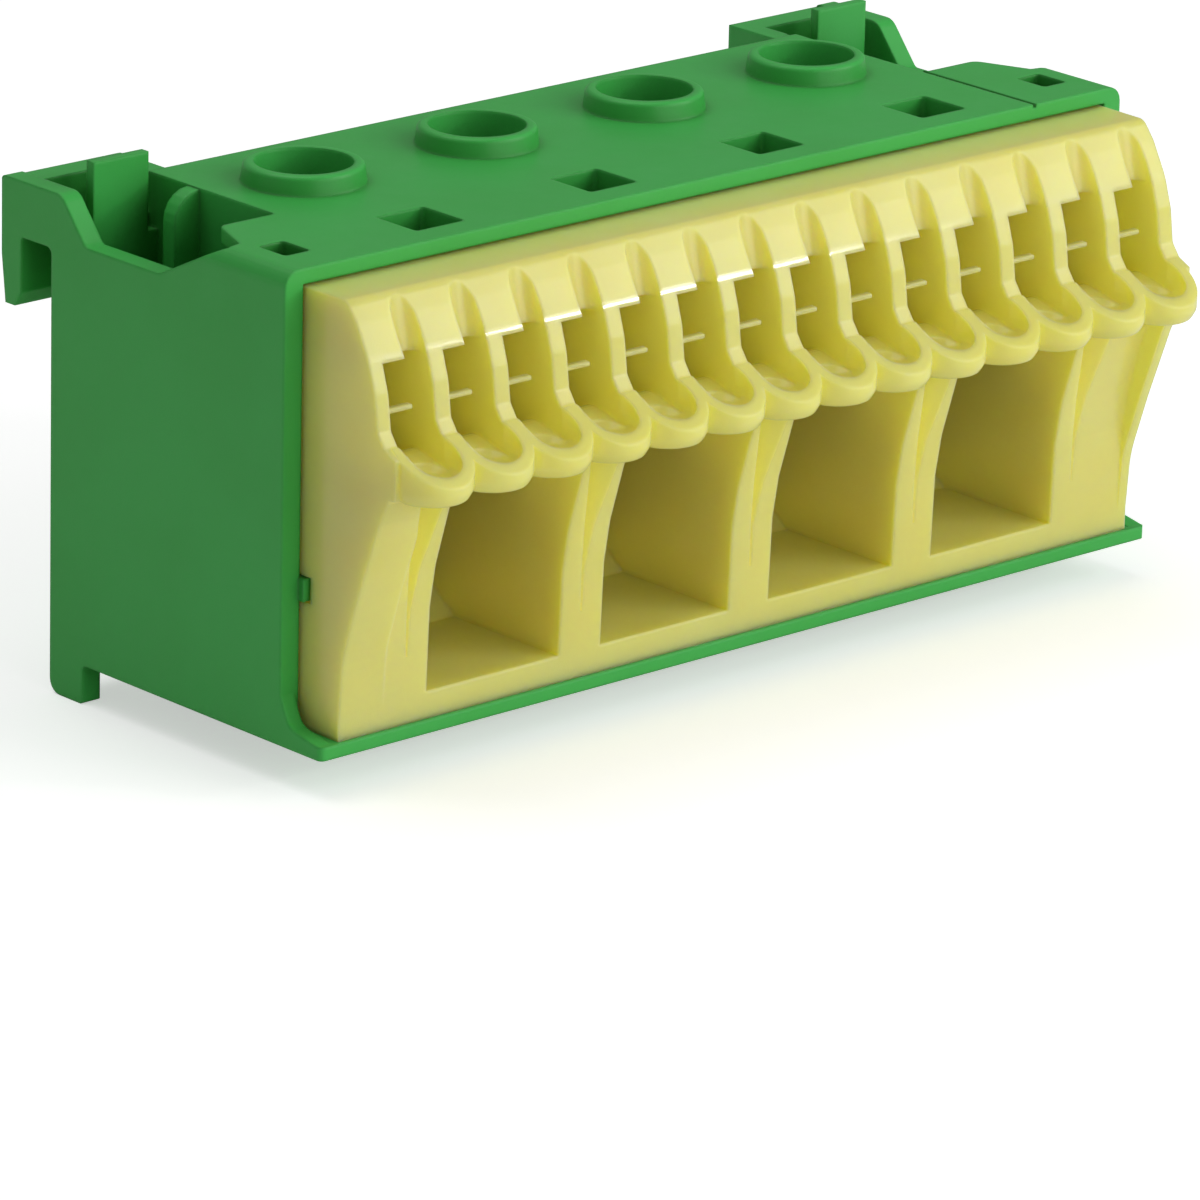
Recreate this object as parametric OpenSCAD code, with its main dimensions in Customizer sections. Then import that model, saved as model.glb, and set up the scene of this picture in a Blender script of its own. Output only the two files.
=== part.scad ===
// Earth terminal bar: a moulded housing with a yellow wire guide, an inner
// earth bar, four screw clamps and fourteen push-in springs.
// Frame: X along the bar, -Y to the wiring side, +Z up to the screw side.

/* [Layout] */
// Distance from one push-in port to the next
port_pitch = 5; // [5:0.1:5.4]
// Material outside the first and last port's cell, at each end
end_margin = 2.25; // [2.2:0.05:2.6]

/* [Housing] */
// Height from the underside to the top plate's face
body_h = 31.5; // [31.3:0.1:32.5]
// Depth from the rear wall's face to the front rim
body_d = 23.5; // [23.3:0.1:24]
// Depth of the bottom plate, which reaches past the rim
base_d = 27.6; // [27.4:0.1:28.5]
// Thickness of the end walls
end_wall = 1.5; // [1.2:0.1:1.6]
// Thickness of the top plate
top_t = 1.05; // [0.9:0.05:1.2]
// Thickness of the bottom plate
base_t = 0.9; // [0.7:0.05:1]
// Thickness of the rear wall
rear_wall = 1; // [0.8:0.1:1.2]
// How far the rail hooks reach behind the rear wall
hook_reach = 5.2; // [4.8:0.1:6]
// Width of the rail slot between hook and rear wall
hook_slot = 3.2; // [2.6:0.1:3.4]
// How far the two feet reach below the underside
foot_drop = 2.7; // [2:0.1:3.2]
// Height of the collars round the screw holes
collar_h = 1.3; // [0.8:0.1:1.8]
// Radius of the screw holes in the collars
collar_hole_r = 3.3; // [3.2:0.05:3.4]
// Side of the four square windows
window_w = 4.1; // [3.6:0.1:4.3]

/* [Wire guide] */
// Width of each port between its two fins
port_w = 3.75; // [3.4:0.05:3.9]
// Radius of the funnel in each scoop
funnel_r = 1.95; // [1.8:0.05:2.1]
// Width of each large wire bay
bay_w = 11.4; // [10.6:0.1:11.6]
// Gap between the wire guide and the end walls
guide_gap = 0.2; // [0.15:0.05:0.3]

/* [Clamps] */
// Radius of the clamp screws' shanks
screw_r = 2.5; // [2:0.1:2.6]
// How far a cage rises from open to closed
cage_travel = 7.4; // [6:0.1:7.4]

/* [Contacts] */
// Thickness of the earth bar
bar_t = 2; // [1.5:0.1:2]
// Thickness of the spring strip
spring_t = 0.5; // [0.4:0.05:0.6]

/* [Hidden] */
bay_count = 4;
ports_per_bay = 3;
port_count = ports_per_bay * bay_count + 2;
body_len = port_pitch * port_count + 2 * end_margin;
bay_pitch = ports_per_bay * port_pitch;
first_port = end_margin + port_pitch / 2;
first_bay = first_port + 2 * port_pitch;
arc_steps = 5;
scoop_fn = 28;
groove_fn = 16;
eps = 0.01;

// rail hooks
hook_w = 9.9;
hook_wall = 1.6;
hook_bottom = 22.9;
hook_roof = 27.7;
hook_taper = 0.4;

// end pockets, spring tongues and the ribs beside them
pocket_in = 8.1;
pocket_front = 12.8;
pocket_floor = 17;
dip_z = 28.5;
lid_edge = 3.5;
lid_full_y = 17;
lid_corner = [1.9, -16.7];
edge_r = 1.1;
tongue_x = 2.65;
tongue_w = 4.6;
tongue_t = 0.7;
tongue_rise = 1.7;
tongue_root = 27.8;
stub_y = 4;
stub_t = 1.2;
stub_x = 6.05;
skin = 1;

// collars and windows
screw_y = -7.8;
collar_base_r = 4.18;
collar_top_r = 3.93;
tube_bottom = 26.5;
window_y = -21.4;
window_skirt = 28;
end_window = [2.1, 2.75];
end_window_x = 2.4;
end_window_y = -20.65;
step_x = 66.1;
step_h = 0.25;

// feet and the bottom plate's ends
foot_d = 3.4;
gusset_h = 2.5;
gusset_w = 1.15;
nub_z = 9.5;
nub_h = 1.5;
nub_in = 0.5;
nub_reach = 0.5;
nub_notch_reach = 0.9;

// wire guide
guide_rear = 22.8;
guide_foot = 27.3;
guide_top = 30.3;
scoop_y = -32.4;
lip_z = 17.95;
lip_r = 2.7;
rim_z = 20.9;
rim_slope = 0.6;
rim_top = 21.4;
bowl_z = 19;
plate_w = 1.75;
plate_z = 26.5;
groove_at = [-28.6, 30.2];
groove_lean = 12;
sill_z = 2.75;
ramp_top = 5;
rib_rear = 13.9;
ramp_start = 17;
bay_roof = 17.6;
rib_left = 3.7;
rib_right = 0.8;
flute_y = -27.25;
flute_foot = 5.5;
flute_d = 5;
flute_w = 3;

// earth bar, cages and screws
bar_z = 13.5;
bar_top = bar_z + bar_t;
spine_rear = -14.1;
spine_front = -21.6;
bar_end = 3;
tongue_bar_w = 6.4;
tongue_bar_rear = -3.2;
cage_in_w = 8;
cage_wall = 1.2;
cage_y = [-11.6, -4];
cage_floor_z = 5.6;
cage_floor_t = 1.4;
cage_head_z = bar_top + 0.5;
cage_head_t = 2.4;
thread_gap = 0.05;
head_r = 2.95;
head_z = cage_head_z + cage_head_t + cage_travel + 0.2;
head_t = 2.6;
drive_r = 1.5;
drive_depth = 1.8;

// push-in springs
spring_w = 3.4;
partition_t = 0.8;
partition_top = 24.6;
bend_reach = 4;
spring_rear = -14.3;
loop_y = -18.4;
loop_z = 22.6;
loop_r = 1.7;
leg_tip = [-15.9, 15.9];

// One corner of an outline as an arc of radius r
function corner(before, at, after, r, steps) =
  r == 0 ? [at] :
  let (
    a = (before - at) / norm(before - at),
    b = (after - at) / norm(after - at),
    half = acos(a * b) / 2,
    centre = at + (a + b) / norm(a + b) * r / sin(half),
    p = at + a * r / tan(half) - centre,
    q = at + b * r / tan(half) - centre,
    start = atan2(p[1], p[0]),
    turn = (atan2(q[1], q[0]) - start + 540) % 360 - 180
  )
  [for (k = [0:steps]) centre + r * [cos(start + turn * k / steps), sin(start + turn * k / steps)]];

function flat2(p) = [p[0], p[1]];

// An outline from corners [a, b, radius]
function outline(v, steps = arc_steps) =
  let (n = len(v))
  [for (i = [0:n - 1])
    each corner(flat2(v[(i + n - 1) % n]), flat2(v[i]), flat2(v[(i + 1) % n]), v[i][2], steps)];

function port_x(i) = first_port + i * port_pitch;
function bay_x(i) = first_bay + i * bay_pitch;

// Puts the origin at the middle of the part's box, on its lowest face
module place() {
  y_mid = (hook_reach + scoop_y - lip_r) / 2;
  translate([-body_len / 2, -y_mid, foot_drop]) children();
}

// Extrudes an outline in (Y, Z) along X
module along_x(x, w) {
  translate([x, 0, 0]) rotate([90, 0, 90]) linear_extrude(w) children();
}

module box(from, to) {
  translate(from) cube(to - from);
}

// Draws its children and their mirror image at the other end of the bar
module both_ends() {
  children();
  translate([body_len, 0, 0]) mirror([1, 0, 0]) children();
}

module rounded_box(from, to, r) {
  translate([0, 0, from[2]]) linear_extrude(to[2] - from[2]) polygon(outline([
    [from[0], from[1], r], [to[0], from[1], r], [to[0], to[1], r], [from[0], to[1], r]
  ]));
}

// Side view of an end wall, with its hook behind and its foot below
module end_wall_outline() {
  polygon(outline([
    [hook_reach, body_h, 0.3],
    [hook_reach, hook_roof - 1.5, 0],
    [hook_reach - hook_taper, hook_bottom, 0.2],
    [hook_slot + 0.6, hook_bottom, 0.3],
    [hook_slot, hook_bottom + 1, 0],
    [hook_slot, hook_roof, 0.3],
    [0, hook_roof, 0.5],
    [0, -foot_drop, 1],
    [-foot_d, -foot_drop, 0.2],
    [-foot_d, 0, 0.4],
    [-body_d, 0, 0],
    [-body_d, body_h, 0],
    [-lid_full_y, body_h, 1.5],
    [-11, dip_z, 1.5],
    [-3.5, dip_z, 0.5],
    [-1, body_h, 1.2]
  ]));
}

// Side view of the rail hook's inner wall; from_y trims it at the front
module hook_outline(from_y, roof) {
  polygon([
    [hook_reach, body_h - 0.2],
    [hook_reach, hook_roof - 1.5],
    [hook_reach - hook_taper, hook_bottom],
    [hook_slot + 0.6, hook_bottom],
    [hook_slot, hook_bottom + 1],
    [hook_slot, roof],
    [from_y, roof],
    [from_y, body_h - 0.2]
  ]);
}

module hook() {
  along_x(0, hook_w) hook_outline(hook_slot, hook_roof);
  along_x(hook_w - hook_wall, hook_wall) hook_outline(-rear_wall, hook_roof);
}

module end_pocket_walls() {
  box([end_wall - eps, -pocket_front - skin, pocket_floor - skin], [pocket_in + skin, 0, pocket_floor]);
  box([pocket_in, -pocket_front - skin, pocket_floor - skin], [pocket_in + skin, 0, body_h - eps]);
  box([end_wall - eps, -pocket_front - skin, pocket_floor - skin], [pocket_in + skin, -pocket_front, dip_z]);
  along_x(end_wall - eps, lid_edge - end_wall + eps) polygon([
    [-pocket_front, dip_z - top_t], [-pocket_front, dip_z + 1.1],
    [-lid_full_y, body_h], [-lid_full_y, dip_z + 1]
  ]);
  // rib beside the pocket, with a rounded free corner
  translate([0, -stub_y, 0]) rotate([90, 0, 0]) linear_extrude(stub_t) polygon(outline([
    [stub_x, pocket_floor - skin, 0], [pocket_in + skin, pocket_floor - skin, 0],
    [pocket_in + skin, body_h - 0.1, 0], [stub_x, body_h - 0.1, 2]
  ]));
}

module tongue() {
  box([tongue_x, -rear_wall, tongue_root - 1],
      [tongue_x + tongue_w, tongue_t - rear_wall, body_h + tongue_rise]);
}

// Opening in the rear wall round a spring tongue
module tongue_slot() {
  box([end_wall, -rear_wall - eps, tongue_root], [pocket_in, eps, body_h + 1]);
}

module lid() {
  half = [
    [body_len / 2, 0, 0], [pocket_in, 0, 0], [pocket_in, -pocket_front, 0.3], [lid_edge, -pocket_front, 0.8],
    [lid_corner[0], lid_corner[1], 0], [0.6, -lid_full_y, 0], [0.6, -body_d, 0], [body_len / 2, -body_d, 0]
  ];
  both_ends() translate([0, 0, body_h - top_t]) linear_extrude(top_t) polygon(outline(half));
}

// Collar above the top plate and the screw's guide tube below it
module collar_ring() {
  rotate_extrude($fn = 48) polygon(outline([
    [collar_hole_r - 0.4, tube_bottom, 0], [collar_base_r, tube_bottom, 0], [collar_base_r, body_h, 0],
    [collar_top_r + 0.05, body_h + collar_h, 0.3], [collar_hole_r - 0.4, body_h + collar_h, 0]
  ]));
}

module window_skirts() {
  for (i = [0:bay_count - 1]) {
    box([bay_x(i) - window_w / 2 - skin, window_y - skin, window_skirt],
        [bay_x(i) + window_w / 2 + skin, window_y + window_w + skin, body_h - eps]);
  }
  both_ends() box([end_wall - eps, end_window_y - skin, window_skirt],
                  [end_window_x + end_window[0] + skin, end_window_y + end_window[1] + skin, body_h - eps]);
}

module window_holes() {
  for (i = [0:bay_count - 1]) {
    rounded_box([bay_x(i) - window_w / 2, window_y, window_skirt - 1],
                [bay_x(i) + window_w / 2, window_y + window_w, body_h + 1], 0.3);
  }
  both_ends() rounded_box([end_window_x, end_window_y, window_skirt - 1],
                          [end_window_x + end_window[0], end_window_y + end_window[1], body_h + 1], 0.3);
}

module bottom_plate() {
  linear_extrude(base_t) polygon(outline([
    [0, 0, 0], [body_len, 0, 0], [body_len, -base_d, 0.4], [0, -base_d, 0.4]
  ]));
  both_ends() along_x(0, gusset_w) polygon(outline([
    [-body_d + eps, base_t - eps, 0], [-body_d + eps, base_t + gusset_h, 0],
    [-body_d - 0.9, base_t + 0.5, 1.2], [-base_d + 0.4, base_t - eps, 0]
  ]));
}

// Snap nub on the end wall, or the notch for it when grow is set
module nub(front, grow) {
  along_x(end_wall - 0.1, 0.1 + nub_in + grow) polygon([
    [-body_d - front, nub_z - grow], [-body_d - front, nub_z + nub_h + grow],
    [-body_d + 1.2 + grow, nub_z + nub_h + grow], [-body_d + 1.2 + grow, nub_z - grow]
  ]);
}

// Takes the sharp edge off an end wall's top, in front of its dip
module edge_rounding() {
  translate([0, -pocket_front - 2, 0]) rotate([90, 0, 0]) linear_extrude(body_d) polygon(concat(
    [[-1, body_h - edge_r], [-1, body_h + 1], [edge_r, body_h + 1]],
    [for (k = [0:arc_steps])
      [edge_r, body_h - edge_r] + edge_r * [-sin(90 * k / arc_steps), cos(90 * k / arc_steps)]]
  ));
}

module housing() {
  color([0.33, 0.66, 0.35]) place() difference() {
    union() {
      both_ends() {
        along_x(0, end_wall) end_wall_outline();
        hook();
        end_pocket_walls();
        nub(nub_reach, 0);
        // roof of the rail slot behind the pocket
        box([end_wall - eps, -eps, hook_roof], [hook_w - 0.1, hook_slot + 0.1, hook_roof + skin]);
      }
      difference() {
        box([0.1, -rear_wall, 0], [body_len - 0.1, 0, body_h - 0.2]);
        both_ends() tongue_slot();
      }
      both_ends() tongue();
      bottom_plate();
      lid();
      for (i = [0:bay_count - 1]) translate([bay_x(i), screw_y, 0]) collar_ring();
      window_skirts();
    }
    window_holes();
    for (i = [0:bay_count - 1]) {
      translate([bay_x(i), screw_y, tube_bottom - 1]) cylinder(r = collar_hole_r, h = body_h, $fn = 48);
    }
    both_ends() edge_rounding();
    // shallow step that runs the depth of the top plate near its right end
    box([step_x, -body_d - 1, body_h - step_h], [step_x + 0.3, 1, body_h + 1]);
  }
}

// Side view of the wire guide's front wall, without its scoops
module guide_outline() {
  polygon(outline([
    [-guide_rear, base_t, 0], [-guide_rear, guide_top, 0], [-27.5, guide_top - 0.05, 0.9],
    [-28.5, 29, 2], [-29.7, 26.8, 5], [-30.4, 24.6, 4], [-30.7, 22.3, 0.6], [-31.35, rim_top, 0.5],
    [scoop_y, rim_z, 0], [scoop_y, lip_z + 0.3, 0], [-29.95, lip_z, 0], [-29.35, 16, 3],
    [-28, 11.5, 4], [-guide_foot - 0.2, 8.5, 0], [-guide_foot, 3, 0], [-guide_foot, base_t, 0]
  ]));
}

// Side view of the flared rib at each end of the front wall
module end_rib_outline() {
  polygon(outline([
    [-guide_rear - 1, base_t, 0], [-guide_rear - 1, lip_z + 1, 0], [-31.9, lip_z + 1, 0], [-31.75, 17.9, 0],
    [-30.9, 16.2, 3], [-29, 10.9, 8], [-27.6, 6.5, 8], [-guide_foot, 2.5, 0], [-guide_foot, base_t, 0]
  ], 3));
}

// Rounded lip round one port, cut off by a plane that falls to the front
module scoop(i) {
  intersection() {
    translate([port_x(i), scoop_y, 0]) rotate_extrude($fn = scoop_fn) polygon(outline([
      [0, lip_z, 0], [lip_r - 0.4, lip_z, 0.4], [lip_r, lip_z + 0.7, 1],
      [lip_r, rim_top + 1, 0], [0, rim_top + 1, 0]
    ], 3));
    along_x(port_x(i) - lip_r - 1, 2 * lip_r + 2) polygon([
      [scoop_y - 5, 10], [scoop_y - 5, rim_z - 5 * rim_slope],
      [scoop_y + (rim_top - rim_z) / rim_slope, rim_top],
      [-28, rim_top], [-28, 10]
    ]);
  }
}

// Bowl and channel of one port
module port_cut(i) {
  translate([port_x(i), scoop_y, 0]) rotate_extrude($fn = scoop_fn) polygon(outline([
    [0, bowl_z, 0], [funnel_r, bowl_z, 1.1], [funnel_r, rim_top + 1, 0], [0, rim_top + 1, 0]
  ], 3));
  along_x(port_x(i) - 2, port_w) polygon(outline([
    [scoop_y + 0.2, bowl_z + 0.3, 0], [scoop_y + 0.2, plate_z, 0], [-28.5, plate_z, 0],
    [-guide_rear + 1, plate_z - 2, 0], [-guide_rear + 1, 16.4, 0], [-24.5, 17, 0], [-28.5, 20.2, 2]
  ]));
}

// Groove at the right of each port, which runs out towards the top
module groove_cut(i) {
  w = port_w - plate_w;
  translate([port_x(i) - 2 + plate_w + w / 2, groove_at[0], groove_at[1]]) rotate([-groove_lean, 0, 0])
    translate([0, 0, -5.5]) cylinder(r = w / 2, h = 8.5, $fn = groove_fn);
}

// Small cross rib inside each port
module tick(i) {
  along_x(port_x(i) - 2 - 0.2, 2.2) polygon([[-30.4, 23.6], [-30.4, 23.35], [-29.9, 23.3], [-29.9, 23.65]]);
}

module bay_cut(i) {
  along_x(bay_x(i) - bay_w / 2, bay_w) polygon([
    [-40, sill_z], [-guide_rear + 1, sill_z], [-guide_rear + 1, bar_z - 0.3],
    [-27.4, bay_roof], [-29.6, lip_z + 0.05], [-40, lip_z + 0.05]
  ]);
}

// V-shaped flute that deepens upwards as the pillar leans out
module flute(x) {
  translate([x, flute_y, flute_foot]) linear_extrude(lip_z + 0.1 - flute_foot)
    polygon([[0, 0], [-flute_w, -flute_d], [flute_w, -flute_d]]);
}

module guide_ribs() {
  for (i = [0:bay_count - 2]) {
    box([bay_x(i) + bay_w / 2, -guide_rear - eps, base_t], [bay_x(i + 1) - bay_w / 2, -rib_rear, bar_z]);
  }
  both_ends() box([end_wall + guide_gap, -guide_rear - eps, base_t],
                  [bay_x(0) - bay_w / 2, -rib_rear, bar_z]);
  // floor that lifts the wire to the cage
  along_x(end_wall + guide_gap, body_len - 2 * (end_wall + guide_gap)) polygon([
    [-guide_rear - eps, base_t], [-guide_rear - eps, sill_z], [-ramp_start, sill_z], [-rib_rear, ramp_top],
    [-rib_rear, base_t]
  ]);
}

module spring_partitions() {
  for (i = [0:port_count - 2]) {
    box([port_x(i) + port_pitch / 2 - partition_t / 2, -guide_rear - eps, bar_top],
        [port_x(i) + port_pitch / 2 + partition_t / 2, -rib_rear, partition_top]);
  }
}

module wire_guide() {
  guide_len = body_len - 2 * (end_wall + guide_gap);
  color([0.87, 0.84, 0.5]) place() {
    difference() {
      union() {
        difference() {
          union() {
            along_x(end_wall + guide_gap, guide_len) guide_outline();
            along_x(end_wall + guide_gap, rib_left) end_rib_outline();
            along_x(end_wall + guide_gap + guide_len - rib_right, rib_right) end_rib_outline();
          }
          for (i = [0:bay_count]) flute(bay_x(0) + (i - 0.5) * bay_pitch);
        }
        for (i = [0:port_count - 1]) scoop(i);
        guide_ribs();
        spring_partitions();
      }
      for (i = [0:port_count - 1]) {
        port_cut(i);
        groove_cut(i);
      }
      for (i = [0:bay_count - 1]) bay_cut(i);
      both_ends() nub(nub_notch_reach, 0.15);
    }
    for (i = [0:port_count - 1]) tick(i);
  }
}

module earth_bar() {
  color([0.8, 0.62, 0.3]) place() {
    box([bar_end, spine_front, bar_z], [body_len - bar_end, spine_rear, bar_top]);
    for (i = [0:bay_count - 1]) {
      box([bay_x(i) - tongue_bar_w / 2, spine_rear - 1, bar_z],
          [bay_x(i) + tongue_bar_w / 2, tongue_bar_rear, bar_top]);
    }
  }
}

// Rising cage in its open position: floor, two walls and a threaded head
module clamp_cage(i) {
  outer = cage_in_w / 2 + cage_wall;
  floor_z = cage_floor_z - cage_floor_t;
  head_top = cage_head_z + cage_head_t;
  color([0.72, 0.73, 0.75]) place() translate([bay_x(i), 0, 0]) difference() {
    box([-outer, cage_y[0], floor_z], [outer, cage_y[1], head_top]);
    box([-cage_in_w / 2, cage_y[0] - 1, cage_floor_z], [cage_in_w / 2, cage_y[1] + 1, cage_head_z]);
    translate([0, screw_y, cage_head_z - 1])
      cylinder(r = screw_r + thread_gap, h = cage_head_t + 2, $fn = 48);
  }
}

module clamp_screw(i) {
  color([0.78, 0.78, 0.76]) place() translate([bay_x(i), screw_y, 0]) difference() {
    union() {
      translate([0, 0, bar_top]) cylinder(r = screw_r, h = head_z - bar_top + eps, $fn = 48);
      translate([0, 0, head_z]) cylinder(r = head_r, h = head_t, $fn = 48);
    }
    translate([0, 0, head_z + head_t - drive_depth]) for (a = [0, 90]) {
      rotate([0, 0, a]) translate([-drive_r - 0.4, -0.4, 0]) cube([2 * drive_r + 0.8, 0.8, drive_depth + 1]);
    }
  }
}

// A straight stretch of spring strip between two points in (Y, Z), with a lap at its start
module strip(from, to, lap = 0) {
  d = to - from;
  translate(from) rotate(atan2(d[1], d[0])) translate([-lap, -spring_t / 2])
    square([norm(d) + lap, spring_t]);
}

module spring_outline() {
  top = [loop_y, loop_z + loop_r];
  rear_top = [spring_rear, loop_z + loop_r];
  lean = atan2(leg_tip[1] - loop_z, leg_tip[0] - loop_y);
  reach = norm(leg_tip - [loop_y, loop_z]);
  side = lean - acos(loop_r / reach);
  start = [loop_y, loop_z] + loop_r * [cos(side), sin(side)];
  strip([spring_rear, bar_top], rear_top);
  strip(top, rear_top + [spring_t / 2, 0], 0.1);
  strip(start, leg_tip, 0.1);
  intersection() {
    translate([loop_y, loop_z]) difference() {
      circle(r = loop_r + spring_t / 2, $fn = 48);
      circle(r = loop_r - spring_t / 2, $fn = 48);
    }
    polygon([
      [loop_y, loop_z], [loop_y, loop_z + bend_reach], [loop_y - bend_reach, loop_z + bend_reach],
      [loop_y - bend_reach, loop_z - bend_reach], [loop_y, loop_z] + bend_reach * [cos(side), sin(side)]
    ]);
  }
}

module spring_clip(i) {
  color([0.75, 0.76, 0.78]) place() along_x(port_x(i) - spring_w / 2, spring_w) spring_outline();
}

housing();
wire_guide();
earth_bar();
for (i = [0:bay_count - 1]) {
  clamp_cage(i);
  clamp_screw(i);
}
for (i = [0:port_count - 1]) {
  spring_clip(i);
}
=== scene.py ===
"""Looks of the earth terminal bar: moulded green housing, yellow wire guide and plated metal inside."""

import math

import bpy
from mathutils import Matrix, Vector


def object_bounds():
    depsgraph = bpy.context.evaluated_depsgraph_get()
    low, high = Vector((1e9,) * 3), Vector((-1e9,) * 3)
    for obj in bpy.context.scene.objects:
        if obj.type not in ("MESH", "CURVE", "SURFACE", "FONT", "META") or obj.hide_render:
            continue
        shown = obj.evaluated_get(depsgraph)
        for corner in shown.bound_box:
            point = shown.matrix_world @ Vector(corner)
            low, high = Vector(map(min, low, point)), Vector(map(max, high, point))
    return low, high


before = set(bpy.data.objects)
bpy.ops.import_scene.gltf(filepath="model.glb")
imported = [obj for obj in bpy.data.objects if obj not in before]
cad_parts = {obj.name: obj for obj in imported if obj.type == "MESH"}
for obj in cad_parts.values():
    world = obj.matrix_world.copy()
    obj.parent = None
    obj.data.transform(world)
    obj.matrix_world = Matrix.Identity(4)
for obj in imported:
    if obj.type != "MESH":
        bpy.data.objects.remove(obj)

CAD_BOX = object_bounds()
MM = 0.001

# Sizes of the plastics' patterns, in repeats per metre
CLOUD_SCALE = 90
FLOW_SCALE = 420
GRAIN_SCALE = 9000

# Heights of the plastics' grain and flow marks
GRAIN_RELIEF = 0.02 * MM
FLOW_RELIEF = 0.06 * MM

# Sizes of the metals' patterns, in repeats per metre, and the height of the rolling lines
ROLLING_SCALE = 6000
TARNISH_SCALE = 300
ROLLING_STRETCH = (0.05, 1, 1)
ROLLING_RELIEF = 0.01 * MM
METAL_EDGE = 0.1 * MM

# Studio
WORLD_LIGHT = 0.22
FLOOR_SIDE = 3.0
FLOOR_GLOW = 0.5
FLOOR_GAP = 0.02 * MM

# Camera: direction from the part, lens and aim
CAMERA_AZIMUTH = math.radians(-42.385)
CAMERA_ELEVATION = math.radians(17.042)
CAMERA_ROLL = math.radians(1.345)
CAMERA_DISTANCE = 579.86 * MM
CAMERA_TARGET = Vector((0.23, 2.95, 17.15)) * MM
CAMERA_LENS = 259.15
CAMERA_SHIFT_Y = -0.1817


# ---------------------------------------------------------------- shader groups

def new_group(name, inputs, outputs):
    """An empty shader group with its sockets, its input node and its output node."""
    tree = bpy.data.node_groups.new(name, "ShaderNodeTree")
    for label, kind, value in inputs:
        socket = tree.interface.new_socket(label, in_out="INPUT", socket_type=kind)
        socket.default_value = value
    for label, kind in outputs:
        tree.interface.new_socket(label, in_out="OUTPUT", socket_type=kind)
    return tree, tree.nodes.new("NodeGroupInput"), tree.nodes.new("NodeGroupOutput")


def math_node(tree, operation, a, b):
    """One Math node on two numbers or sockets."""
    node = tree.nodes.new("ShaderNodeMath")
    node.operation = operation
    for socket, value in zip(node.inputs, (a, b)):
        if isinstance(value, (int, float)):
            socket.default_value = value
        else:
            tree.links.new(value, socket)
    return node.outputs[0]


def noise(tree, vector, scale, detail, rough):
    """Grey noise read at a vector."""
    node = tree.nodes.new("ShaderNodeTexNoise")
    tree.links.new(vector, node.inputs["Vector"])
    node.inputs["Scale"].default_value = scale
    node.inputs["Detail"].default_value = detail
    node.inputs["Roughness"].default_value = rough
    return node.outputs["Fac"]


def ramp(tree, value, low, high, out_low=0.0, out_high=1.0):
    """A smooth step from out_low to out_high as value goes from low to high."""
    node = tree.nodes.new("ShaderNodeMapRange")
    node.interpolation_type = "SMOOTHSTEP"
    tree.links.new(value, node.inputs["Value"])
    for label, number in (("From Min", low), ("From Max", high), ("To Min", out_low), ("To Max", out_high)):
        node.inputs[label].default_value = number
    return node.outputs["Result"]


def mix_colour(tree, factor, a, b):
    """Colour a where factor is 0 and colour b where it is 1."""
    node = tree.nodes.new("ShaderNodeMix")
    node.data_type = "RGBA"
    for index, socket in ((0, factor), (6, a), (7, b)):
        tree.links.new(socket, node.inputs[index])
    return node.outputs[2]


def spread_about(tree, middle, pattern, amount):
    """A value that swings about middle with a pattern, by amount in all."""
    swing = math_node(tree, "MULTIPLY", math_node(tree, "SUBTRACT", pattern, 0.5), amount)
    return math_node(tree, "ADD", middle, swing)


def round_edges(tree, radius, samples):
    """Normals that run smoothly round the edges, with a number or a socket for the radius."""
    node = tree.nodes.new("ShaderNodeBevel")
    node.samples = samples
    if isinstance(radius, float):
        node.inputs["Radius"].default_value = radius
    else:
        tree.links.new(radius, node.inputs["Radius"])
    return node.outputs["Normal"]


def relief(tree, height, distance, strength, normal):
    """A Bump node over other normals, with a number or a socket for its strength."""
    node = tree.nodes.new("ShaderNodeBump")
    node.inputs["Distance"].default_value = distance
    if isinstance(strength, float):
        node.inputs["Strength"].default_value = strength
    else:
        tree.links.new(strength, node.inputs["Strength"])
    tree.links.new(height, node.inputs["Height"])
    tree.links.new(normal, node.inputs["Normal"])
    return node.outputs["Normal"]


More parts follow.
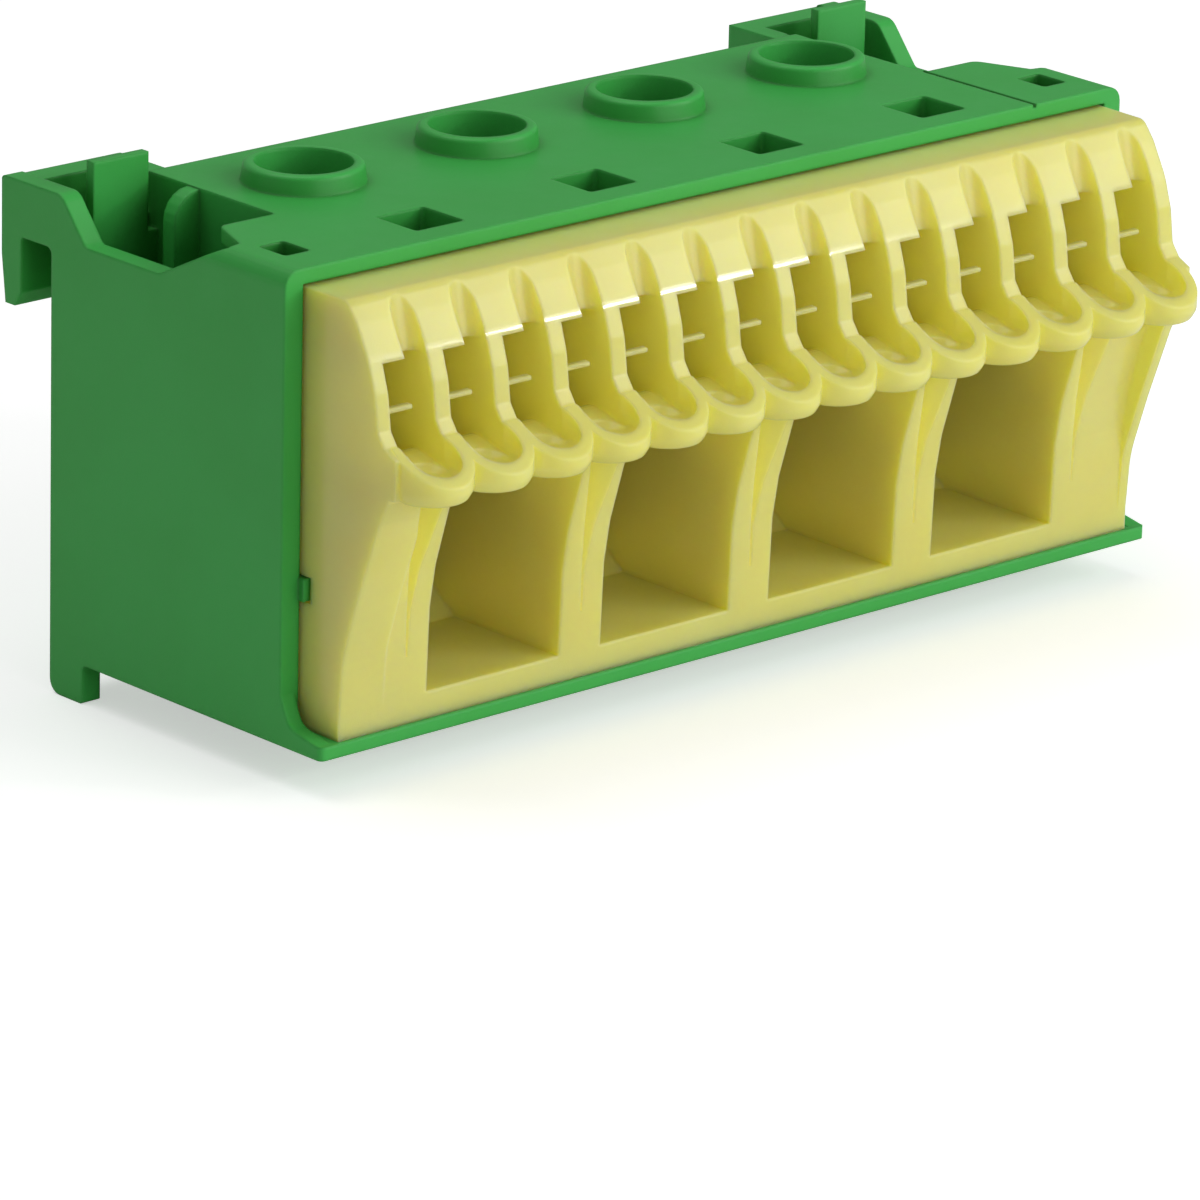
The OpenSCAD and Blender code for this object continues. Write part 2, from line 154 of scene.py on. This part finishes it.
def make_moulded_skin():
    """Moulded plastic: cloudy colour, painted light and shade in its hollows, fine grain, flow marks and
    round edges.
    """
    tree, source, result = new_group(
        "Moulded skin",
        [
            ("Colour", "NodeSocketColor", (0.5, 0.5, 0.5, 1)),
            ("Cloud colour", "NodeSocketColor", (0.4, 0.4, 0.4, 1)),
            ("Cloud amount", "NodeSocketFloat", 0.3),
            # Painted light and shade: the colour mixed into hollows found by ambient occlusion, and how far
            # that reaches
            ("Painted hollow light and shade", "NodeSocketColor", (0.3, 0.3, 0.3, 1)),
            ("Painted hollow reach", "NodeSocketFloat", 4 * MM),
            ("Roughness", "NodeSocketFloat", 0.4),
            ("Roughness spread", "NodeSocketFloat", 0.08),
            ("Ripple height", "NodeSocketFloat", 0.25),
            ("Grain height", "NodeSocketFloat", 0.3),
            ("Edge radius", "NodeSocketFloat", 0.2 * MM),
        ],
        [("Colour", "NodeSocketColor"), ("Roughness", "NodeSocketFloat"), ("Normal", "NodeSocketVector")],
    )
    given = source.outputs
    place = tree.nodes.new("ShaderNodeTexCoord").outputs["Object"]
    cloud = noise(tree, place, CLOUD_SCALE, 3, 0.55)
    flow = noise(tree, place, FLOW_SCALE, 2, 0.6)
    grain = noise(tree, place, GRAIN_SCALE, 2, 0.6)

    amount = math_node(tree, "MULTIPLY", ramp(tree, cloud, 0.35, 0.7), given["Cloud amount"])
    cloudy = mix_colour(tree, amount, given["Colour"], given["Cloud colour"])
    # Painted light and shade: the ambient-occlusion mask mixes the hollow colour into recesses, as painted
    # shade or painted glow
    around = tree.nodes.new("ShaderNodeAmbientOcclusion")
    around.samples = 6
    around.only_local = True
    tree.links.new(given["Painted hollow reach"], around.inputs["Distance"])
    painted_shading_mask = ramp(tree, around.outputs["AO"], 0.35, 1.0, 1.0, 0.0)
    tree.links.new(mix_colour(tree, painted_shading_mask, cloudy, given["Painted hollow light and shade"]), result.inputs["Colour"])

    rough = spread_about(tree, given["Roughness"], flow, given["Roughness spread"])
    tree.links.new(rough, result.inputs["Roughness"])

    edges = round_edges(tree, given["Edge radius"], 6)
    grained = relief(tree, grain, GRAIN_RELIEF, given["Grain height"], edges)
    rippled = relief(tree, flow, FLOW_RELIEF, given["Ripple height"], grained)
    tree.links.new(rippled, result.inputs["Normal"])
    return tree


def make_rolled_metal():
    """Plated or rolled metal strip: fine lines along X, cloudy plating and softened edges."""
    tree, source, result = new_group(
        "Rolled metal",
        [
            ("Colour", "NodeSocketColor", (0.7, 0.7, 0.7, 1)),
            ("Tarnish", "NodeSocketColor", (0.5, 0.5, 0.5, 1)),
            ("Tarnish amount", "NodeSocketFloat", 0.4),
            ("Roughness", "NodeSocketFloat", 0.3),
        ],
        [("Colour", "NodeSocketColor"), ("Roughness", "NodeSocketFloat"), ("Normal", "NodeSocketVector")],
    )
    given = source.outputs
    place = tree.nodes.new("ShaderNodeTexCoord").outputs["Object"]
    stretch = tree.nodes.new("ShaderNodeMapping")
    stretch.inputs["Scale"].default_value = ROLLING_STRETCH
    tree.links.new(place, stretch.inputs["Vector"])
    lines = noise(tree, stretch.outputs["Vector"], ROLLING_SCALE, 2, 0.6)
    cloud = noise(tree, place, TARNISH_SCALE, 3, 0.6)

    amount = math_node(tree, "MULTIPLY", ramp(tree, cloud, 0.4, 0.7), given["Tarnish amount"])
    tree.links.new(mix_colour(tree, amount, given["Colour"], given["Tarnish"]), result.inputs["Colour"])

    tree.links.new(spread_about(tree, given["Roughness"], lines, 0.25), result.inputs["Roughness"])

    edges = round_edges(tree, METAL_EDGE, 4)
    tree.links.new(relief(tree, lines, ROLLING_RELIEF, 0.4, edges), result.inputs["Normal"])
    return tree


# ---------------------------------------------------------------- materials

def material_with(name, group, values):
    """A material whose Principled shader takes colour, roughness and normal from a group."""
    material = bpy.data.materials.new(name)
    material.use_nodes = True
    tree = material.node_tree
    shader = tree.nodes["Principled BSDF"]
    node = tree.nodes.new("ShaderNodeGroup")
    node.node_tree = group
    for label, value in values.items():
        node.inputs[label].default_value = value
    tree.links.new(node.outputs["Colour"], shader.inputs["Base Color"])
    tree.links.new(node.outputs["Roughness"], shader.inputs["Roughness"])
    tree.links.new(node.outputs["Normal"], shader.inputs["Normal"])
    return material, shader


def make_green_plastic(skin):
    """Housing: opaque green with a faint sheen, with painted shade making it deep green in its holes and
    pockets.
    """
    material, shader = material_with("green_plastic", skin, {
        "Colour": (0.055, 0.47, 0.085, 1),
        "Cloud colour": (0.05, 0.43, 0.07, 1),
        "Cloud amount": 0.6,
        # Painted shade: darker green mixed into the holes and pockets
        "Painted hollow light and shade": (0.03, 0.27, 0.035, 1),
        "Painted hollow reach": 4 * MM,
        "Roughness": 0.42,
        "Roughness spread": 0.1,
        "Grain height": 0.35,
        "Ripple height": 0.25,
        "Edge radius": 0.34 * MM,
    })
    shader.inputs["IOR"].default_value = 1.46
    shader.inputs["Specular IOR Level"].default_value = 0.34
    shader.inputs["Coat Weight"].default_value = 0.1
    shader.inputs["Coat Roughness"].default_value = 0.2
    shader.inputs["Subsurface Weight"].default_value = 0.15
    shader.inputs["Subsurface Radius"].default_value = (0.25, 1.0, 0.25)
    shader.inputs["Subsurface Scale"].default_value = 0.7 * MM
    return material


def make_yellow_plastic(skin):
    """Wire guide: glossy and translucent, so that light scatters through it, with a painted golden glow
    brightening its ports and hollows as well.
    """
    material, shader = material_with("yellow_plastic", skin, {
        "Colour": (0.78, 0.745, 0.215, 1),
        "Cloud colour": (0.78, 0.715, 0.16, 1),
        "Cloud amount": 0.7,
        # Painted light: brighter gold mixed into the hollows, standing in for light passing through the
        # thin walls
        "Painted hollow light and shade": (0.99, 0.89, 0.24, 1),
        "Painted hollow reach": 9 * MM,
        "Roughness": 0.36,
        "Roughness spread": 0.14,
        "Grain height": 0.4,
        "Ripple height": 0.4,
        "Edge radius": 0.42 * MM,
    })
    shader.inputs["IOR"].default_value = 1.47
    shader.inputs["Subsurface Weight"].default_value = 1.0
    shader.inputs["Subsurface Radius"].default_value = (1.0, 0.85, 0.25)
    shader.inputs["Subsurface Scale"].default_value = 3.0 * MM
    shader.inputs["Coat Weight"].default_value = 0.6
    shader.inputs["Coat Roughness"].default_value = 0.09
    return material


def make_metal(name, rolled, colour, tarnish, roughness):
    """A plated or bare metal of the parts inside."""
    material, shader = material_with(name, rolled, {
        "Colour": colour,
        "Tarnish": tarnish,
        "Tarnish amount": 0.5,
        "Roughness": roughness,
    })
    shader.inputs["Metallic"].default_value = 1.0
    return material


def dress(node_name, material):
    """Puts one material in every slot of a node."""
    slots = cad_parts[node_name].material_slots
    for slot in slots:
        slot.material = material


def dress_all():
    """Gives each node the material that its name starts with."""
    skin = make_moulded_skin()
    rolled = make_rolled_metal()
    green = make_green_plastic(skin)
    yellow = make_yellow_plastic(skin)
    brass = make_metal("bar_brass", rolled, (0.72, 0.50, 0.20, 1), (0.5, 0.32, 0.12, 1), 0.32)
    zinc = make_metal("cage_zinc", rolled, (0.62, 0.63, 0.65, 1), (0.45, 0.46, 0.46, 1), 0.38)
    screw = make_metal("screw_zinc", rolled, (0.70, 0.69, 0.66, 1), (0.5, 0.48, 0.42, 1), 0.30)
    spring = make_metal("spring_steel", rolled, (0.66, 0.67, 0.69, 1), (0.5, 0.5, 0.52, 1), 0.25)
    by_start = {"housing": green, "wire_guide": yellow, "earth_bar": brass,
                "clamp_cage": zinc, "clamp_screw": screw, "spring_clip": spring}
    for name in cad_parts:
        for start, material in by_start.items():
            if name.startswith(start):
                dress(name, material)


# ---------------------------------------------------------------- stage, lamps and camera

def background_mask(tree):
    """1 where the camera sees a surface, straight or through glass, and 0 for light on the part."""
    path = tree.nodes.new("ShaderNodeLightPath")
    return math_node(tree, "MAXIMUM", path.outputs["Is Camera Ray"], path.outputs["Is Transmission Ray"])


def make_floor():
    """Plain white floor just under the part."""
    mesh = bpy.data.meshes.new("floor")
    corners = [(x * FLOOR_SIDE, y * FLOOR_SIDE, 0) for x, y in ((-1, -1), (1, -1), (1, 1), (-1, 1))]
    mesh.from_pydata(corners, [], [(0, 1, 2, 3)])
    floor = bpy.data.objects.new("floor", mesh)
    floor.location.z = CAD_BOX[0][2] - FLOOR_GAP
    bpy.context.scene.collection.objects.link(floor)
    material = bpy.data.materials.new("floor_white")
    material.use_nodes = True
    tree = material.node_tree
    shader = tree.nodes["Principled BSDF"]
    shader.inputs["Base Color"].default_value = (0.86, 0.86, 0.86, 1)
    shader.inputs["Roughness"].default_value = 0.9
    shader.inputs["Specular IOR Level"].default_value = 0.0
    glow = math_node(tree, "MULTIPLY", background_mask(tree), FLOOR_GLOW)
    tree.links.new(glow, shader.inputs["Emission Strength"])
    shader.inputs["Emission Color"].default_value = (1, 1, 1, 1)
    mesh.materials.append(material)


def make_world():
    """White background with a dim, even light on the part."""
    world = bpy.data.worlds.new("studio")
    bpy.context.scene.world = world
    world.use_nodes = True
    tree = world.node_tree
    shade = tree.nodes["Background"]
    strength = ramp(tree, background_mask(tree), 0, 1, WORLD_LIGHT, 1.0)
    tree.links.new(strength, shade.inputs["Strength"])
    shade.inputs["Color"].default_value = (1, 1, 1, 1)


def add_area(name, towards, distance, side, power):
    """A square lamp that looks at the middle of the part from the given direction."""
    data = bpy.data.lights.new(name, "AREA")
    data.shape = "SQUARE"
    data.size = side
    data.energy = power
    lamp = bpy.data.objects.new(name, data)
    middle = (Vector(CAD_BOX[0]) + Vector(CAD_BOX[1])) / 2
    direction = Vector(towards).normalized()
    lamp.location = middle + direction * distance
    lamp.rotation_euler = direction.to_track_quat("Z", "Y").to_euler()
    bpy.context.scene.collection.objects.link(lamp)


def make_lamps():
    """Soft key at the right, fills in front and above, and a small lamp for the glints."""
    add_area("key", (0.57, -0.68, 0.46), 0.55, 0.42, 1.05)
    add_area("front_fill", (0.05, -0.97, 0.10), 0.7, 0.6, 1.85)
    add_area("top_fill", (-0.1, 0.25, 1.0), 0.6, 0.5, 1.2)
    add_area("glint", (0.62, -0.70, 0.34), 0.6, 0.04, 0.3)


def make_camera():
    """Long-lens camera a little above the bar, turned to its front left corner."""
    level = math.cos(CAMERA_ELEVATION)
    back = Vector((math.sin(CAMERA_AZIMUTH) * level, -math.cos(CAMERA_AZIMUTH) * level,
                   math.sin(CAMERA_ELEVATION)))
    side = (-back).cross(Vector((0, 0, 1))).normalized()
    up = side.cross(-back)
    right = side * math.cos(CAMERA_ROLL) + up * math.sin(CAMERA_ROLL)
    above = up * math.cos(CAMERA_ROLL) - side * math.sin(CAMERA_ROLL)
    data = bpy.data.cameras.new("camera")
    data.sensor_width = 36
    data.lens = CAMERA_LENS
    data.shift_y = CAMERA_SHIFT_Y
    data.clip_start = 0.01
    data.clip_end = 20
    camera = bpy.data.objects.new("camera", data)
    axes = Matrix((right, above, back)).transposed()
    camera.matrix_world = Matrix.Translation(CAMERA_TARGET + back * CAMERA_DISTANCE) @ axes.to_4x4()
    bpy.context.scene.collection.objects.link(camera)
    bpy.context.scene.camera = camera


# ---------------------------------------------------------------- the scene

dress_all()
make_floor()
make_world()
make_lamps()
make_camera()
bpy.context.scene.view_settings.view_transform = "Standard"
